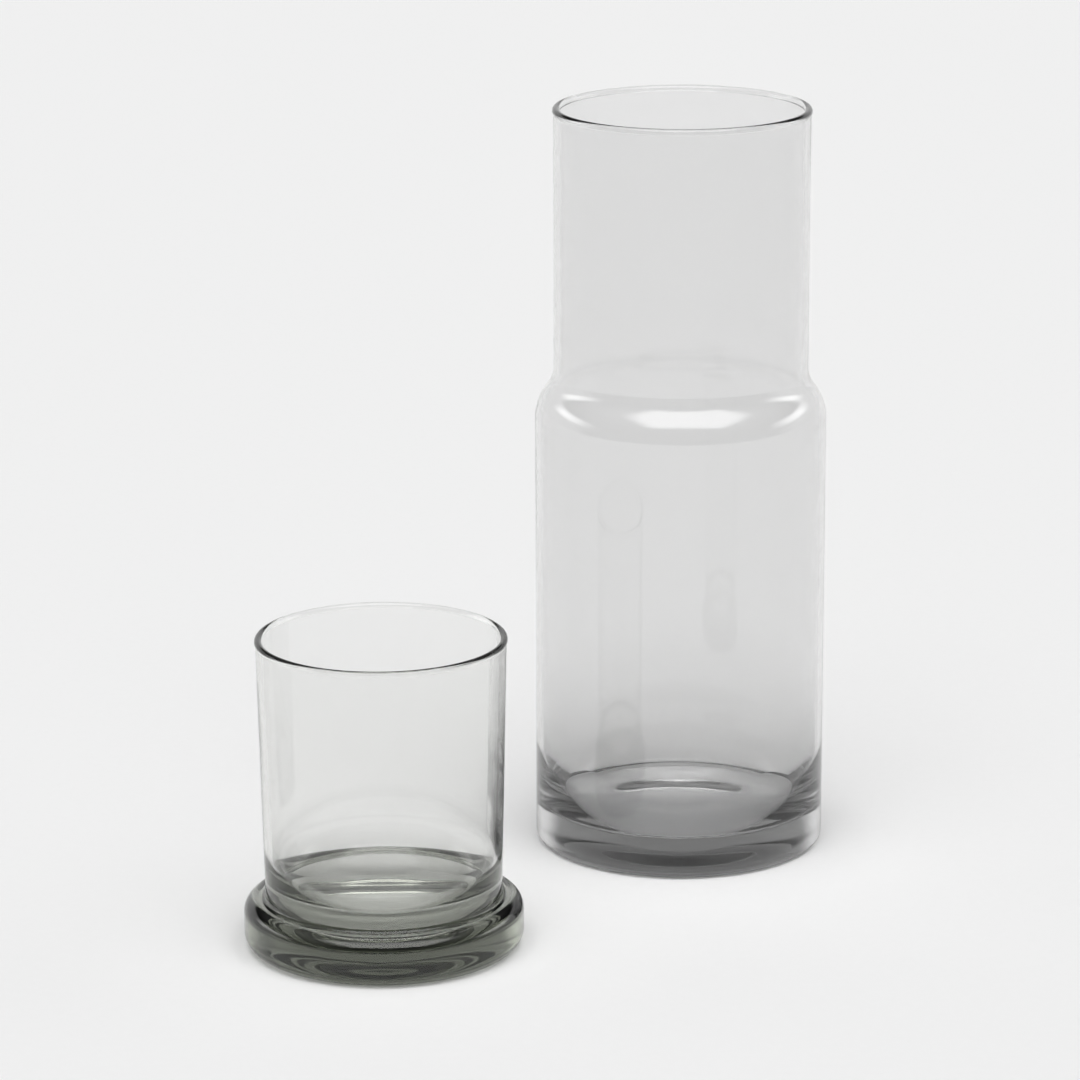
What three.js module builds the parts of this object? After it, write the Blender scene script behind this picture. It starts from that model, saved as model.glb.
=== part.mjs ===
// A glass carafe and the tumbler that closes it: the tumbler stands beside the carafe, and turned
// over its bowl drops into the carafe's neck until the foot covers the mouth like a lid.
// Both are turned glass, so each is one section revolved about its own upright axis.
// Millimetres, +Z up. The origin is on the table, in the middle of the set's footprint.

import * as THREE from 'three';

// Tumbler bowl
const MOUTH_RADIUS = 36.7; // outside of the wall just under the rim
const BOWL_HEIGHT = 79.4; // from the top of the foot to the rim
const BOWL_TAPER = 1.7; // radius lost from the rim down to the foot
const TUMBLER_WALL = 1.9;
const TUMBLER_RIM_SWELL = 0.27; // how far the melted rim stands out from the wall
const TUMBLER_FLOOR = 9.5; // from the table to the inside floor
const TUMBLER_CORNER = 20; // round between the inside wall and the inside floor

// Tumbler foot
const FOOT_HEIGHT = 14.8;
const FOOT_FILLET = 1.6; // cove where the bowl rises from the foot
const FOOT_LEDGE = 0.4; // flat between that cove and the foot's round top edge
const FOOT_BOTTOM_ROUND = 4.5;
const FOOT_HOLLOW_RADIUS = 28; // shallow hollow underneath
const FOOT_HOLLOW_FLAT = 10; // radius of its level middle
const FOOT_HOLLOW_DEPTH = 1.2;

// Carafe
const BODY_HEIGHT = 135.8; // straight side, from the table to the shoulder
const CARAFE_WALL = 2;
const CARAFE_RIM_SWELL = 0.35;
const SHOULDER_STEP = 5.7; // how far the body stands out from the neck
const SHOULDER_ROUND = 15; // convex lower half of the shoulder
const NECK_COVE = 10; // hollow upper half of the shoulder
const CARAFE_FLOOR = 11.6; // from the table to the inside floor
const CARAFE_LEAN_ROUND = 44; // wide round along which the inside wall leans in above the floor
const CARAFE_LEAN = 25; // degrees that it has leaned in by at the corner
const CARAFE_CORNER = 2; // tight round between that leaning wall and the inside floor
const BASE_EDGE_ROUND = 2.5;
const BASE_HOLLOW_RADIUS = 30; // shallow hollow underneath
const BASE_HOLLOW_FLAT = 10; // radius of its level middle
const BASE_HOLLOW_DEPTH = 1.5;

// How the two fit
const NECK_CLEARANCE = 0.3; // between the tumbler's rim and the bore of the neck
const NECK_SPARE = 1.4; // neck left below the turned-over tumbler
const FOOT_OVERHANG = 2.13; // how far the foot reaches past the neck as a lid

// Where the tumbler stands, measured from the carafe's axis
const TUMBLER_TO_THE_LEFT = 90;
const TUMBLER_IN_FRONT = 98.5;

// Glass
const CARAFE_TINT = 0xb9bcba;
const TUMBLER_TINT = 0xb4b9b5;
const GLASS_ROUGHNESS = 0.05;
const GLASS_OPACITY = 0.35;

// Facets
const SIDES = 64; // flats around each piece
const CHORD_ERROR = 0.05; // how far a flat may leave a true arc of the section

// Sizes that follow from the ones above
const neckBore = MOUTH_RADIUS + TUMBLER_RIM_SWELL + NECK_CLEARANCE;
const neckRadius = neckBore + CARAFE_WALL;
const bodyRadius = neckRadius + SHOULDER_STEP;
const footRadius = neckRadius + FOOT_OVERHANG;
const shoulderArcs = SHOULDER_ROUND + NECK_COVE;
const shoulderTurn = Math.acos(1 - SHOULDER_STEP / shoulderArcs);
const neckStart = BODY_HEIGHT + shoulderArcs * Math.sin(shoulderTurn);
const carafeHeight = neckStart + NECK_SPARE + BOWL_HEIGHT;
const tumblerHeight = FOOT_HEIGHT + BOWL_HEIGHT;

// A point of a section: its distance from the axis and its height.
function point(radius, height) {
  return new THREE.Vector2(radius, height);
}

// An arc of a section. Angles are in radians: 0 points away from the axis, a quarter turn points up.
function arc(centre, round, from, to) {
  const widestStep = 2 * Math.acos(1 - CHORD_ERROR / round);
  const steps = Math.ceil(Math.abs(to - from) / widestStep);
  const points = [];
  for (let i = 0; i <= steps; i += 1) {
    const angle = THREE.MathUtils.lerp(from, to, i / steps);
    points.push(point(centre.x + round * Math.cos(angle), centre.y + round * Math.sin(angle)));
  }
  return points;
}

// The shallow hollow under a base: level in the middle, then an ogee down to the ring it stands on.
function hollow(flat, radius, depth) {
  const turn = 2 * Math.atan(depth / (radius - flat));
  const round = (radius - flat) / (2 * Math.sin(turn));
  const upper = arc(point(flat, depth - round), round, Math.PI / 2, Math.PI / 2 - turn);
  const lower = arc(point(radius, round), round, -Math.PI / 2 - turn, -Math.PI / 2);
  return [point(0, depth), ...upper, ...lower.slice(1)];
}

// A fire-polished rim: a bead flush with the bore that swells a little past the outside wall.
function rim(bore, wall, swell, top) {
  const round = (wall + swell) / 2;
  const centre = point(bore + round, top - round);
  const start = -Math.acos((wall - swell) / (wall + swell));
  return arc(centre, round, start, Math.PI);
}

// The inside of a vessel at its bottom: the round corner, then the flat floor to the axis.
function insideFloor(cornerRadius, round, floor, start) {
  const centre = point(cornerRadius, floor + round);
  return [...arc(centre, round, start, -Math.PI / 2), point(0, floor)];
}

// The inside of the carafe's bottom: the wall leans in along a wide round before the corner.
function carafeFloor() {
  const lean = THREE.MathUtils.degToRad(CARAFE_LEAN);
  const shift = CARAFE_LEAN_ROUND - CARAFE_CORNER;
  const leanRadius = bodyRadius - CARAFE_WALL - CARAFE_LEAN_ROUND;
  const leanHeight = CARAFE_FLOOR + CARAFE_CORNER + shift * Math.sin(lean);
  const cornerRadius = leanRadius + shift * Math.cos(lean);
  return [
    ...arc(point(leanRadius, leanHeight), CARAFE_LEAN_ROUND, 0, -lean),
    ...insideFloor(cornerRadius, CARAFE_CORNER, CARAFE_FLOOR, -lean).slice(1),
  ];
}

// The ogee between body and neck, going up. Thickness moves it inwards, parallel to the outside.
function shoulder(thickness) {
  const bodyCentre = point(bodyRadius - SHOULDER_ROUND, BODY_HEIGHT);
  const neckCentre = point(neckRadius + NECK_COVE, neckStart);
  const convex = arc(bodyCentre, SHOULDER_ROUND - thickness, 0, shoulderTurn);
  const hollowed = arc(neckCentre, NECK_COVE + thickness, Math.PI + shoulderTurn, Math.PI);
  return [...convex, ...hollowed.slice(1)];
}

function carafeSection() {
  const edgeCentre = point(bodyRadius - BASE_EDGE_ROUND, BASE_EDGE_ROUND);
  return [
    ...hollow(BASE_HOLLOW_FLAT, BASE_HOLLOW_RADIUS, BASE_HOLLOW_DEPTH),
    ...arc(edgeCentre, BASE_EDGE_ROUND, -Math.PI / 2, 0),
    ...shoulder(0),
    ...rim(neckBore, CARAFE_WALL, CARAFE_RIM_SWELL, carafeHeight),
    ...shoulder(CARAFE_WALL).reverse(),
    ...carafeFloor(),
  ];
}

// The foot's two round edges and the cove from which the bowl rises, going up.
function footEdge(bowlRadius) {
  const coveCentre = point(bowlRadius + FOOT_FILLET, FOOT_HEIGHT + FOOT_FILLET);
  const topRound = footRadius - coveCentre.x - FOOT_LEDGE;
  const topCentre = point(footRadius - topRound, FOOT_HEIGHT - topRound);
  const bottomCentre = point(footRadius - FOOT_BOTTOM_ROUND, FOOT_BOTTOM_ROUND);
  return [
    ...arc(bottomCentre, FOOT_BOTTOM_ROUND, -Math.PI / 2, 0),
    ...arc(topCentre, topRound, 0, Math.PI / 2),
    ...arc(coveCentre, FOOT_FILLET, -Math.PI / 2, -Math.PI),
  ];
}

function tumblerSection() {
  const bowlRadius = MOUTH_RADIUS - BOWL_TAPER;
  const cornerRadius = bowlRadius - TUMBLER_WALL - TUMBLER_CORNER;
  return [
    ...hollow(FOOT_HOLLOW_FLAT, FOOT_HOLLOW_RADIUS, FOOT_HOLLOW_DEPTH),
    ...footEdge(bowlRadius),
    ...rim(MOUTH_RADIUS - TUMBLER_WALL, TUMBLER_WALL, TUMBLER_RIM_SWELL, tumblerHeight),
    ...insideFloor(cornerRadius, TUMBLER_CORNER, TUMBLER_FLOOR, 0),
  ];
}

// Revolves a section, turns its axis upright and stands the piece at its place on the table.
function turnedGlass(name, section, material, x, y) {
  const geometry = new THREE.LatheGeometry(section, SIDES).rotateX(Math.PI / 2);
  const mesh = new THREE.Mesh(geometry, material);
  mesh.name = name;
  mesh.position.set(x, y, 0);
  return mesh;
}

// Clear glass with a grey tint.
function smokedGlass(tint) {
  return new THREE.MeshStandardMaterial({
    color: tint,
    roughness: GLASS_ROUGHNESS,
    metalness: 0,
    opacity: GLASS_OPACITY,
    transparent: true,
  });
}

// The carafe stands far enough off the origin that the footprint of the pair is centred there.
const carafeX = (TUMBLER_TO_THE_LEFT + footRadius - bodyRadius) / 2;
const carafeY = (TUMBLER_IN_FRONT + footRadius - bodyRadius) / 2;
const tumblerX = carafeX - TUMBLER_TO_THE_LEFT;
const tumblerY = carafeY - TUMBLER_IN_FRONT;

const set = new THREE.Group();
set.add(turnedGlass('carafe', carafeSection(), smokedGlass(CARAFE_TINT), carafeX, carafeY));
set.add(turnedGlass('tumbler', tumblerSection(), smokedGlass(TUMBLER_TINT), tumblerX, tumblerY));

export default set;
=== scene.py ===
"""Smoke-grey glass carafe and the tumbler that closes it, finished round the imported model.

Each piece is one section, drawn beside its axis and spun round. Lengths are in metres.
"""

import math

import bpy
from bpy.props import FloatProperty, FloatVectorProperty, PointerProperty
from mathutils import Matrix, Vector


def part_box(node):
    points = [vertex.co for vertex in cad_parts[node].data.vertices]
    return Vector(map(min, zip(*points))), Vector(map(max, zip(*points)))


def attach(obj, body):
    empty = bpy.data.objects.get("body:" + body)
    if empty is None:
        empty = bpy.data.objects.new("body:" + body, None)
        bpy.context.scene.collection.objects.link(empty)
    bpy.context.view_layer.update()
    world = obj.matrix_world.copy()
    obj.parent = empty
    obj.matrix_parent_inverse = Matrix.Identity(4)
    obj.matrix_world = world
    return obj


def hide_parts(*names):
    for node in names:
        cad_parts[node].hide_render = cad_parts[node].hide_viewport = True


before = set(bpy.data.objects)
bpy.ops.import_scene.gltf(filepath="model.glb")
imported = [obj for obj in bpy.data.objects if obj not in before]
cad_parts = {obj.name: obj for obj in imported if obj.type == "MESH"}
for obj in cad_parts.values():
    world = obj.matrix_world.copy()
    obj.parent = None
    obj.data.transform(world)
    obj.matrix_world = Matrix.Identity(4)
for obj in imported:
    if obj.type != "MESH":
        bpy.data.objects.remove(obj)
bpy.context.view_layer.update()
carafe_low, carafe_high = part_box("carafe")
tumbler_low, tumbler_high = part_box("tumbler")

bl_info = {
    "name": "Glass carafe with tumbler",
    "version": (1, 0, 0),
    "blender": (4, 5, 0),
    "location": "3D View > Sidebar > Carafe",
    "description": "Models a smoke-grey glass carafe, the tumbler that closes it and a pale studio",
    "category": "Add Mesh",
}

MM = 0.001
SIDES = 192  # steps round each piece, too fine to see
ARC_STEP = math.radians(5)  # longest step along a round of a section
FEWEST_STEPS = 4  # along any round
SUPPORT = 0.15 * MM  # short steps at the ends of a straight, which keep its shading straight
SHORTEST_STRAIGHT = 3 * SUPPORT  # a shorter one gets no such steps
WELD = 0.001 * MM  # points closer than this are one
TINT_DEPTH = 10 * MM  # thickness of glass after which light has the colour of the tint
FLOOR_SIDES = 128  # corners of the round floor
FLOOR_GAP = 0.2 * MM  # between the floor and the glass, which would otherwise share a surface
MOST_BOUNCES = 32  # light in a thick base is reflected many times before it leaves
GLASS_BOUNCES = 24
LOWEST_LAMP = 0.01  # sine of the elevation under which the soft box has no light

# Soft edges of the lights: the soft box's per height, the others' on the unit sphere
BOX_BLUR = 0.2
SWEEP_SIDE_BLUR = 0.3
SWEEP_TOP_BLUR = 0.04
BOARD_BLUR = 0.1
CEILING_BLUR = 0.2


def linear(hex_code):
    """The linear colour of an sRGB hex value."""
    channels = []
    for start in (0, 2, 4):
        value = int(hex_code[start:start + 2], 16) / 255
        channels.append(value / 12.92 if value <= 0.04045 else ((value + 0.055) / 1.055) ** 2.4)
    return channels


CLEAR = linear("FFFFFF")


def size(label, description, metres):
    """A length that a user can change."""
    return FloatProperty(
        name=label, description=description, default=metres, min=0, precision=5, unit="LENGTH"
    )


def colour(label, description, hex_code):
    """A colour that a user can change."""
    return FloatVectorProperty(
        name=label, description=description, default=linear(hex_code), min=0, max=1, subtype="COLOR"
    )


def amount(label, description, value):
    """A plain number that a user can change."""
    return FloatProperty(name=label, description=description, default=value, min=0, precision=4)


class CarafeSizes(bpy.types.PropertyGroup):
    """Sizes of the carafe"""

    height: size("Height", "From the table to the rim", carafe_high.z)
    body_radius: size("Body radius", "Outside of the body", (carafe_high.x - carafe_low.x) / 2)
    body_height: size("Body height", "Straight side, from the table to the shoulder", 135.8 * MM)
    wall: size("Wall", "Thickness of body, shoulder and neck", 2 * MM)
    shoulder_step: size("Shoulder step", "How far the body stands out from the neck", 5.7 * MM)
    shoulder_round: size("Shoulder round", "Convex lower half of the shoulder", 15 * MM)
    neck_cove: size("Neck cove", "Hollow upper half of the shoulder", 10 * MM)
    rim_swell: size("Rim swell", "How far the melted rim stands out", 0.35 * MM)
    floor: size("Floor", "From the table to the inside floor", 11.6 * MM)
    corner_upper: size("Inside corner, upper", "Wide round where the inside wall turns in", 44 * MM)
    corner_lower: size("Inside corner, lower", "Tight round that runs into the floor", 2 * MM)
    corner_change: FloatProperty(
        name="Inside corner, change",
        description="How far the wall has turned in where the wide round meets the tight one",
        default=math.radians(25),
        subtype="ANGLE",
    )
    base_edge: size("Base edge", "Round of the bottom edge", 2.5 * MM)
    hollow_radius: size("Hollow radius", "Shallow hollow under the base", 30 * MM)
    hollow_flat: size("Hollow flat", "Level middle of that hollow", 10 * MM)
    hollow_depth: size("Hollow depth", "Rise of that hollow", 1.5 * MM)


class TumblerSizes(bpy.types.PropertyGroup):
    """Sizes of the tumbler"""

    height: size("Height", "From the table to the rim", tumbler_high.z)
    foot_radius: size("Foot radius", "Outside of the foot", (tumbler_high.x - tumbler_low.x) / 2)
    foot_height: size("Foot height", "From the table to the top of the foot", 14.8 * MM)
    foot_fillet: size("Foot fillet", "Cove where the bowl rises from the foot", 1.6 * MM)
    foot_ledge: size("Foot ledge", "Flat between that cove and the round top edge", 0.4 * MM)
    foot_bottom_round: size("Foot bottom round", "Round of the bottom edge", 4.5 * MM)
    mouth_radius: size("Mouth radius", "Outside of the wall under the rim", 36.7 * MM)
    bowl_radius: size("Bowl radius", "Outside of the wall at the foot", 35 * MM)
    wall: size("Wall", "Thickness of the bowl", 1.9 * MM)
    rim_swell: size("Rim swell", "How far the melted rim stands out", 0.27 * MM)
    floor: size("Floor", "From the table to the inside floor", 9.5 * MM)
    corner: size("Inside corner", "Round between inside wall and floor", 20 * MM)
    hollow_radius: size("Hollow radius", "Shallow hollow under the foot", 28 * MM)
    hollow_flat: size("Hollow flat", "Level middle of that hollow", 10 * MM)
    hollow_depth: size("Hollow depth", "Rise of that hollow", 1.2 * MM)


class GlassLook(bpy.types.PropertyGroup):
    """Finish of the glass"""

    carafe_tint: colour("Carafe tint", "White light after 10 mm of the carafe's glass", "EBEBEB")
    carafe_skin: colour("Carafe skin", "White light after both skins of a carafe wall", "F7F7F7")
    # Painted shade: the carafe's skin is greyed further low in the wall between the three heights
    # below, in place of the shade behind the carafe that shows through its glass.
    carafe_painted_low_shade: colour("Carafe painted low shade", "White light after both skins low in the wall, greyer there as painted shade", "EBEBEB")
    painted_shade_start: size("Painted shade start", "Height at which the painted shade starts", 12 * MM)
    painted_shade_darkest: size("Painted shade darkest", "Height at which the painted shade is darkest", 20 * MM)
    painted_shade_end: size("Painted shade end", "Height at which the painted shade has faded out", 65 * MM)
    tumbler_tint: colour("Tumbler tint", "White light after 10 mm of the tumbler's glass", "E1E2DF")
    refraction: amount("Refraction", "Index of refraction of soda-lime glass", 1.52)
    ripple_width: size("Ripple width", "Width of the faint ripples in a blown wall", 14 * MM)
    ripple_length: size("Ripple length", "Length of those ripples up the wall", 70 * MM)
    ripple_depth: size("Ripple depth", "Depth of those ripples", 0.06 * MM)


class StudioLook(bpy.types.PropertyGroup):
    """Floor, light and camera"""

    floor_colour: colour("Floor colour", "Matt pale floor", "F1F1F1")
    floor_hollows: colour("Floor hollows", "Paint in the hollows of its stipple", "EFEFEF")
    stipple: size("Stipple", "Width of the marks that the paint roller left", 3 * MM)
    floor_radius: size("Floor radius", "How far the floor reaches", 8)
    overhead_light: amount("Overhead light", "Radiance of the wide soft box overhead", 3.35)
    sweep_light: amount("Sweep light", "Radiance of the pale sweep low behind the object", 0.85)
    sweep_top: amount("Sweep top", "Sine of the elevation of the sweep's upper edge", 0.37)
    board_light: amount("Board light", "Radiance of the white boards on either side of it", 3)
    board_start: amount("Board start", "Sideways part of the direction where they start", 0.78)
    board_bottom: amount("Board bottom", "Sine of the elevation of their lower edge", 0.22)
    ceiling_light: amount("Ceiling light", "Radiance of the pale ceiling round the soft box", 0.4)
    ceiling_start: amount("Ceiling start", "Sine of the elevation of its lower edge", 0.6)
    room_light: amount("Room light", "Radiance of the dim room all round", 0.05)
    box_left: amount("Box left", "How far the soft box reaches to the left, per height", 0.65)
    box_right: amount("Box right", "How far the soft box reaches to the right, per height", 0.85)
    box_front: amount("Box front", "How far in front the soft box reaches, per height", 1.15)
    box_rear: amount("Box rear", "How far in front the soft box starts, per height", 0.1)
    camera_place: FloatVectorProperty(
        name="Camera place",
        description="Where the camera stands",
        default=(-0.36 * MM, -1385 * MM, 487.75 * MM),
        subtype="TRANSLATION",
        unit="LENGTH",
    )
    camera_tilt: FloatProperty(
        name="Camera tilt",
        description="How far the camera looks down",
        default=math.radians(15.29),
        subtype="ANGLE",
    )
    camera_roll: FloatProperty(
        name="Camera roll",
        description="How far the camera leans",
        default=math.radians(-0.16),
        subtype="ANGLE",
    )
    camera_lens: FloatProperty(
        name="Camera lens",
        description="Focal length on a sensor 36 mm wide",
        default=159.1,
        subtype="DISTANCE_CAMERA",
    )


class GlassSection:
    """A section drawn beside an upright axis by one vertex that is pushed along, then spun."""

    def __init__(self, name, low, high, height):
        middle = (low + high) / 2
        self.axis = Vector((middle.x, middle.y, 0))
        self.end = self.place(0, height)
        bpy.ops.object.select_all(action="DESELECT")
        bpy.ops.mesh.primitive_plane_add(size=MM, location=self.end)
        bpy.ops.object.transform_apply(location=True, rotation=False, scale=False)
        self.piece = bpy.context.object
        self.piece.name = name
        self.piece.data.name = name
        bpy.ops.object.mode_set(mode="EDIT")
        bpy.ops.mesh.select_mode(type="VERT")
        bpy.ops.mesh.select_all(action="SELECT")
        bpy.ops.mesh.merge(type="CENTER")

    def place(self, radius, height):
        """The point at a distance from the axis and a height over the table."""
        return self.axis + Vector((radius, 0, height))

    def push(self, target):
        """One step of the vertex to a point."""
        bpy.ops.mesh.extrude_vertices_move(TRANSFORM_OT_translate={"value": target - self.end})
        self.end = target

    def line(self, radius, height):
        """A straight stroke, with a short step at either end."""
        start, target = self.end, self.place(radius, height)
        step = (target - start).normalized() * SUPPORT
        if (target - start).length > SHORTEST_STRAIGHT:
            self.push(start + step)
            self.push(target - step)
        self.push(target)

    def arc(self, radius, height, turn):
        """A round stroke about a centre. A positive turn goes from outwards to upwards."""
        centre = self.place(radius, height)
        steps = max(FEWEST_STEPS, math.ceil(abs(turn) / ARC_STEP))
        bpy.ops.mesh.spin(steps=steps, angle=turn, center=centre, axis=(0, 1, 0))
        self.end = centre + Matrix.Rotation(-turn, 3, "Y") @ (self.end - centre)

    def hollow(self, flat, radius, depth):
        """The shallow hollow under a base: a level middle, then an ogee down to the ring."""
        turn = 2 * math.atan(depth / (radius - flat))
        bend = (radius - flat) / math.sin(turn) / 2
        self.line(flat, depth)
        self.arc(flat, depth - bend, -turn)
        self.arc(radius, bend, turn)

    def rim(self, bore, wall, swell, top):
        """The outside wall, then a fire-polished rim: a bead that is flush with the bore."""
        bead = (wall + swell) / 2
        start = -math.acos((wall - swell) / (wall + swell))
        height = top - bead
        self.line(bore + wall, height + bead * math.sin(start))
        self.arc(bore + bead, height, math.pi - start)

    def spin_round(self):
        """Closes the section round its axis and returns the finished piece."""
        bpy.ops.mesh.select_all(action="SELECT")
        bpy.ops.mesh.spin(steps=SIDES, angle=2 * math.pi, center=self.axis, axis=(0, 0, 1))
        bpy.ops.mesh.select_all(action="SELECT")
        bpy.ops.mesh.remove_doubles(threshold=WELD)
        bpy.ops.mesh.normals_make_consistent(inside=False)
        bpy.ops.object.mode_set(mode="OBJECT")
        bpy.ops.object.shade_smooth()
        return self.piece


def add_node(tree, kind, inputs, **settings):
    """Adds a node with its settings. Inputs are values, or sockets to link from."""
    node = tree.nodes.new(kind)
    for name, value in settings.items():
        setattr(node, name, value)
    for key, value in inputs.items():
        if isinstance(value, bpy.types.NodeSocket):
            tree.links.new(value, node.inputs[key])
        else:
            node.inputs[key].default_value = value
    return node


def smoke_glass(name, tint, skin, painted_shade_changes, look):
    """Soda-lime glass, blown and smoke-grey.

    The tint greys it with thickness, so that a base looks darker than a wall. The skin greys each
    surface, and so darkens thin walls too. Each change gives the next surface colour and the two
    heights between which it takes over: on the carafe this is painted shade, a skin greyed further
    low in the wall. Ripples drawn out upwards make the reflections waver.
    """
    material = bpy.data.materials.new(name)
    material.use_nodes = True
    tree = material.node_tree
    tree.nodes.clear()
    place = add_node(tree, "ShaderNodeTexCoord", {})
    drawn = add_node(
        tree,
        "ShaderNodeMapping",
        {
            "Vector": place.outputs["Object"],
            "Scale": (1, 1, look.ripple_width / look.ripple_length),
        },
    )
    ripples = add_node(
        tree,
        "ShaderNodeTexNoise",
        {"Vector": drawn.outputs["Vector"], "Scale": 1 / look.ripple_width, "Detail": 1},
    )
    bump = add_node(
        tree, "ShaderNodeBump", {"Height": ripples.outputs["Fac"], "Distance": look.ripple_depth}
    )
    shade = [*skin, 1]
    # Each change blends the surface colour towards the next by height; on the carafe this paints
    # shade low in the wall.
    for next_skin_and_shade, start, end in painted_shade_changes:
        height = add_node(tree, "ShaderNodeSeparateXYZ", {"Vector": place.outputs["Object"]})
        share = add_node(
            tree,
            "ShaderNodeMapRange",
            {"Value": height.outputs["Z"], "From Min": start, "From Max": end},
            interpolation_type="SMOOTHSTEP",
        )
        shade = add_node(
            tree,
            "ShaderNodeMix",
            {"Factor": share.outputs["Result"], "A": shade, "B": [*next_skin_and_shade, 1]},
            data_type="RGBA",
        ).outputs["Result"]
    surface = add_node(
        tree,
        "ShaderNodeBsdfPrincipled",
        {
            "Base Color": shade,
            "Roughness": 0,
            "IOR": look.refraction,
            "Transmission Weight": 1,
            "Normal": bump.outputs["Normal"],
        },
    )
    losses = [-math.log(channel) / TINT_DEPTH for channel in tint]
    densest = max(losses)
    inside = add_node(
        tree,
        "ShaderNodeVolumeAbsorption",
        {"Color": [1 - loss / densest for loss in losses] + [1], "Density": densest},
    )
    add_node(
        tree,
        "ShaderNodeOutputMaterial",
        {"Surface": surface.outputs["BSDF"], "Volume": inside.outputs["Volume"]},
    )
    return material


class GLASSWARE_OT_carafe(bpy.types.Operator):
    """Draw the carafe's section, spin it round and finish it in smoke-grey blown glass"""

    bl_idname = "glassware.carafe"
    bl_label = "Carafe"

    def execute(self, context):
        c = context.scene.carafe_sizes
        neck_radius = c.body_radius - c.shoulder_step
        shoulder_arcs = c.shoulder_round + c.neck_cove
        turn = math.acos(1 - c.shoulder_step / shoulder_arcs)
        neck_start = c.body_height + shoulder_arcs * math.sin(turn)
        round_centre = c.body_radius - c.shoulder_round
        cove_centre = neck_radius + c.neck_cove
        inside = c.body_radius - c.wall

        section = GlassSection("carafe_glass_body", carafe_low, carafe_high, c.hollow_depth)
        section.hollow(c.hollow_flat, c.hollow_radius, c.hollow_depth)
        section.line(c.body_radius - c.base_edge, 0)
        section.arc(c.body_radius - c.base_edge, c.base_edge, math.pi / 2)
        section.line(c.body_radius, c.body_height)
        section.arc(round_centre, c.body_height, turn)
        section.arc(cove_centre, neck_start, -turn)
        section.rim(neck_radius - c.wall, c.wall, c.rim_swell, c.height)
        section.line(neck_radius - c.wall, neck_start)
        section.arc(cove_centre, neck_start, turn)
        section.arc(round_centre, c.body_height, -turn)
        shift = c.corner_upper - c.corner_lower
        upper_height = c.floor + c.corner_lower + shift * math.sin(c.corner_change)
        lower_centre = inside - c.corner_upper + shift * math.cos(c.corner_change)
        section.line(inside, upper_height)
        section.arc(inside - c.corner_upper, upper_height, -c.corner_change)
        section.arc(lower_centre, c.floor + c.corner_lower, c.corner_change - math.pi / 2)
        section.line(0, c.floor)
        piece = section.spin_round()

        look = context.scene.glass_look
        # Painted shade: the skin darkens to the low colour just above the base and fades back to
        # the plain skin higher up the wall.
        painted_shade_changes = (
            (look.carafe_painted_low_shade, look.painted_shade_start, look.painted_shade_darkest),
            (look.carafe_skin, look.painted_shade_darkest, look.painted_shade_end),
        )
        piece.data.materials.append(
            smoke_glass(
                "Smoke glass, mould-blown", look.carafe_tint, look.carafe_skin, painted_shade_changes, look
            )
        )
        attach(piece, "carafe")
        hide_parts("carafe")
        return {"FINISHED"}


class GLASSWARE_OT_tumbler(bpy.types.Operator):
    """Draw the tumbler's section, spin it round and finish it in smoke-grey pressed glass"""

    bl_idname = "glassware.tumbler"
    bl_label = "Tumbler"

    def execute(self, context):
        t = context.scene.tumbler_sizes
        fillet_centre = t.bowl_radius + t.foot_fillet
        top_round = t.foot_radius - fillet_centre - t.foot_ledge
        inside = t.bowl_radius - t.wall

        section = GlassSection("tumbler_glass_body", tumbler_low, tumbler_high, t.hollow_depth)
        section.hollow(t.hollow_flat, t.hollow_radius, t.hollow_depth)
        section.line(t.foot_radius - t.foot_bottom_round, 0)
        section.arc(t.foot_radius - t.foot_bottom_round, t.foot_bottom_round, math.pi / 2)
        section.line(t.foot_radius, t.foot_height - top_round)
        section.arc(t.foot_radius - top_round, t.foot_height - top_round, math.pi / 2)
        section.line(fillet_centre, t.foot_height)
        section.arc(fillet_centre, t.foot_height + t.foot_fillet, -math.pi / 2)
        section.rim(t.mouth_radius - t.wall, t.wall, t.rim_swell, t.height)
        section.line(inside, t.floor + t.corner)
        section.arc(inside - t.corner, t.floor + t.corner, -math.pi / 2)
        section.line(0, t.floor)
        piece = section.spin_round()

        look = context.scene.glass_look
        piece.data.materials.append(
            smoke_glass("Smoke glass, pressed foot", look.tumbler_tint, CLEAR, (), look)
        )
        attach(piece, "tumbler")
        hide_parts("tumbler")
        return {"FINISHED"}


def matt_floor(look):
    """Matt white emulsion, rolled on: no shine, and a fine stipple of two close tones."""
    material = bpy.data.materials.new("Matt emulsion paint, rolled")
    material.use_nodes = True
    tree = material.node_tree
    tree.nodes.clear()
    place = add_node(tree, "ShaderNodeTexCoord", {})
    stipple = add_node(
        tree, "ShaderNodeTexNoise", {"Vector": place.outputs["Object"], "Scale": 1 / look.stipple}
    )
    tone = add_node(
        tree,
        "ShaderNodeMix",
        {
            "Factor": stipple.outputs["Fac"],
            "A": [*look.floor_hollows, 1],
            "B": [*look.floor_colour, 1],
        },
        data_type="RGBA",
    )
    paint = add_node(
        tree, "ShaderNodeBsdfDiffuse", {"Color": tone.outputs["Result"], "Roughness": 0}
    )
    add_node(tree, "ShaderNodeOutputMaterial", {"Surface": paint.outputs["BSDF"]})
    return material


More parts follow.
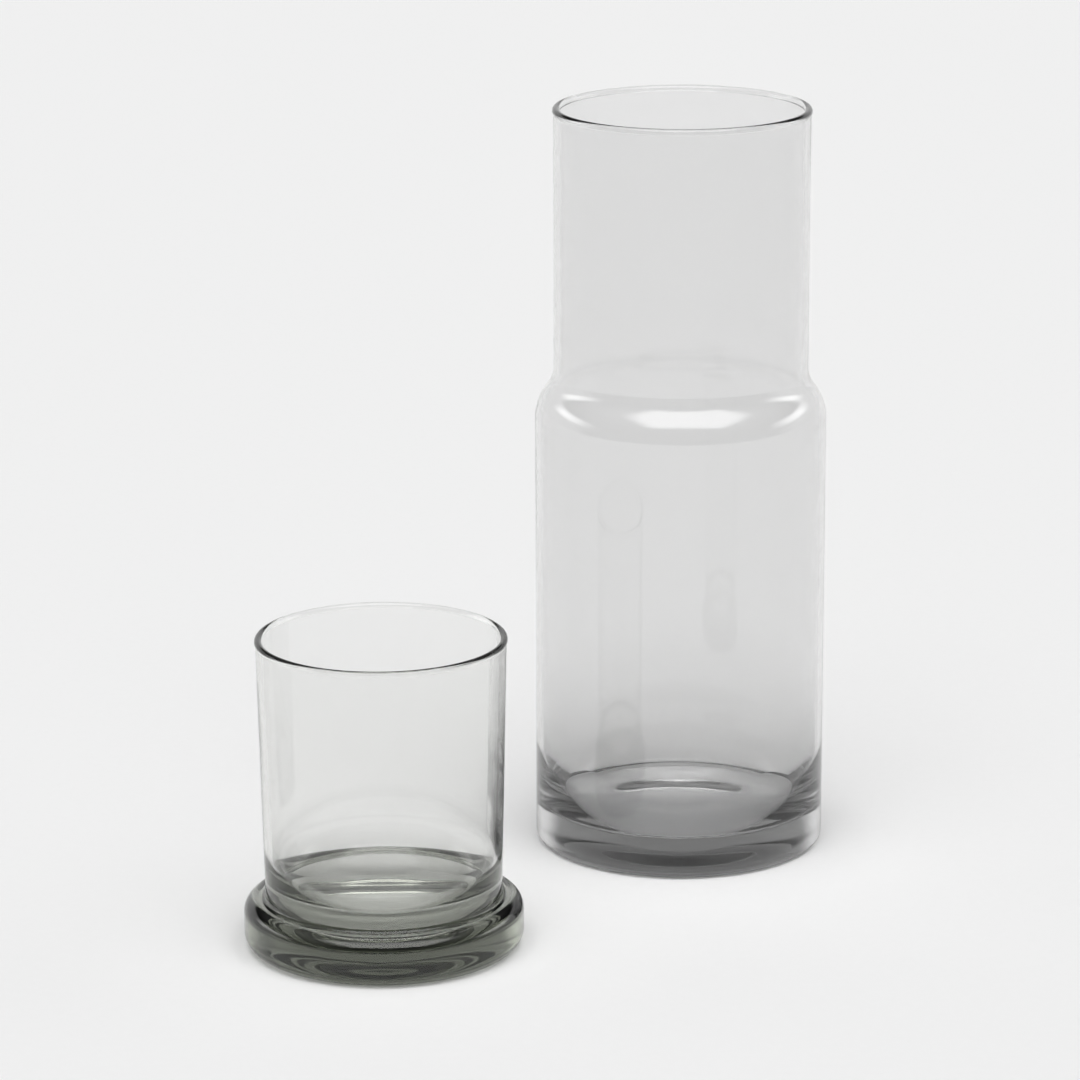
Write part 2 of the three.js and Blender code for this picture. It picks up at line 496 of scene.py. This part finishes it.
def studio_light(look):
    """A dim room with a soft box in its pale ceiling, and a pale sweep between white boards.

    Each light is a region of directions with soft edges, laid over those before it.
    """
    world = bpy.data.worlds.new("Studio")
    world.use_nodes = True
    tree = world.node_tree
    tree.nodes.clear()
    place = add_node(tree, "ShaderNodeTexCoord", {})
    way = add_node(tree, "ShaderNodeSeparateXYZ", {"Vector": place.outputs["Generated"]})
    height = add_node(
        tree, "ShaderNodeMath", {0: way.outputs["Z"], 1: LOWEST_LAMP}, operation="MAXIMUM"
    )
    across, along = (
        add_node(
            tree,
            "ShaderNodeMath",
            {0: way.outputs[axis], 1: height.outputs["Value"]},
            operation="DIVIDE",
        ).outputs["Value"]
        for axis in "XY"
    )
    box_edges = (
        (across, -look.box_left, BOX_BLUR),
        (across, look.box_right, -BOX_BLUR),
        (along, -look.box_front, BOX_BLUR),
        (along, -look.box_rear, -BOX_BLUR),
    )
    sweep_edges = (
        (way.outputs["Y"], 0, SWEEP_SIDE_BLUR),
        (way.outputs["Z"], look.sweep_top, -SWEEP_TOP_BLUR),
    )
    sideways = add_node(tree, "ShaderNodeMath", {0: way.outputs["X"]}, operation="ABSOLUTE")
    board_edges = (
        *sweep_edges,
        (sideways.outputs["Value"], look.board_start, BOARD_BLUR),
        (way.outputs["Z"], look.board_bottom, SWEEP_TOP_BLUR),
    )
    ceiling_edges = ((way.outputs["Z"], look.ceiling_start, CEILING_BLUR),)
    light = look.room_light
    for edges, radiance in (
        (sweep_edges, look.sweep_light),
        (board_edges, look.board_light),
        (ceiling_edges, look.ceiling_light),
        (box_edges, look.overhead_light),
    ):
        share = 1
        for value, at, blur in edges:
            edge = add_node(
                tree,
                "ShaderNodeMapRange",
                {"Value": value, "From Min": at - blur, "From Max": at + blur},
                interpolation_type="SMOOTHSTEP",
            )
            share = add_node(
                tree, "ShaderNodeMath", {0: edge.outputs["Result"], 1: share}, operation="MULTIPLY"
            ).outputs["Value"]
        light = add_node(
            tree,
            "ShaderNodeMix",
            {"Factor": share, "A": light, "B": radiance},
            data_type="FLOAT",
        ).outputs["Result"]
    sky = add_node(tree, "ShaderNodeBackground", {"Color": [*CLEAR, 1], "Strength": light})
    add_node(tree, "ShaderNodeOutputWorld", {"Surface": sky.outputs["Background"]})
    return world


class GLASSWARE_OT_studio(bpy.types.Operator):
    """Lay the floor, light the studio and set up the camera"""

    bl_idname = "glassware.studio"
    bl_label = "Studio"

    def execute(self, context):
        look = context.scene.studio_look
        bpy.ops.object.select_all(action="DESELECT")
        bpy.ops.mesh.primitive_circle_add(
            vertices=FLOOR_SIDES,
            radius=look.floor_radius,
            fill_type="NGON",
            location=(0, 0, -FLOOR_GAP),
        )
        floor = context.object
        floor.name = "studio_floor"
        floor.data.materials.append(matt_floor(look))

        context.scene.world = studio_light(look)
        context.scene.view_settings.view_transform = "Standard"
        # Blurred reflections would darken the floor that is seen through the glass
        context.scene.cycles.blur_glossy = 0
        context.scene.cycles.max_bounces = MOST_BOUNCES
        context.scene.cycles.glossy_bounces = GLASS_BOUNCES
        context.scene.cycles.transmission_bounces = GLASS_BOUNCES

        bpy.ops.object.camera_add(location=look.camera_place)
        camera = context.object
        camera.name = "studio_camera"
        camera.rotation_mode = "ZYX"
        camera.rotation_euler = (math.pi / 2 - look.camera_tilt, 0, look.camera_roll)
        camera.data.lens = look.camera_lens
        context.scene.camera = camera
        return {"FINISHED"}


class GLASSWARE_PT_panel(bpy.types.Panel):
    """The pieces, with their sizes and finishes"""

    bl_label = "Carafe"
    bl_category = "Carafe"
    bl_space_type = "VIEW_3D"
    bl_region_type = "UI"

    def draw(self, context):
        for operator in OPERATORS:
            self.layout.operator(operator.bl_idname)
        for name in GROUPS:
            group = getattr(context.scene, name)
            box = self.layout.box()
            box.label(text=group.__doc__)
            for setting in group.__annotations__:
                box.prop(group, setting)


GROUPS = {
    "carafe_sizes": CarafeSizes,
    "tumbler_sizes": TumblerSizes,
    "glass_look": GlassLook,
    "studio_look": StudioLook,
}
OPERATORS = (GLASSWARE_OT_carafe, GLASSWARE_OT_tumbler, GLASSWARE_OT_studio)
CLASSES = (*GROUPS.values(), *OPERATORS, GLASSWARE_PT_panel)


def register():
    for cls in CLASSES:
        bpy.utils.register_class(cls)
    for name, group in GROUPS.items():
        setattr(bpy.types.Scene, name, PointerProperty(type=group))


def unregister():
    for name in GROUPS:
        delattr(bpy.types.Scene, name)
    for cls in reversed(CLASSES):
        bpy.utils.unregister_class(cls)


def main():
    register()
    bpy.ops.glassware.carafe()
    bpy.ops.glassware.tumbler()
    bpy.ops.glassware.studio()


if __name__ == "__main__":
    main()
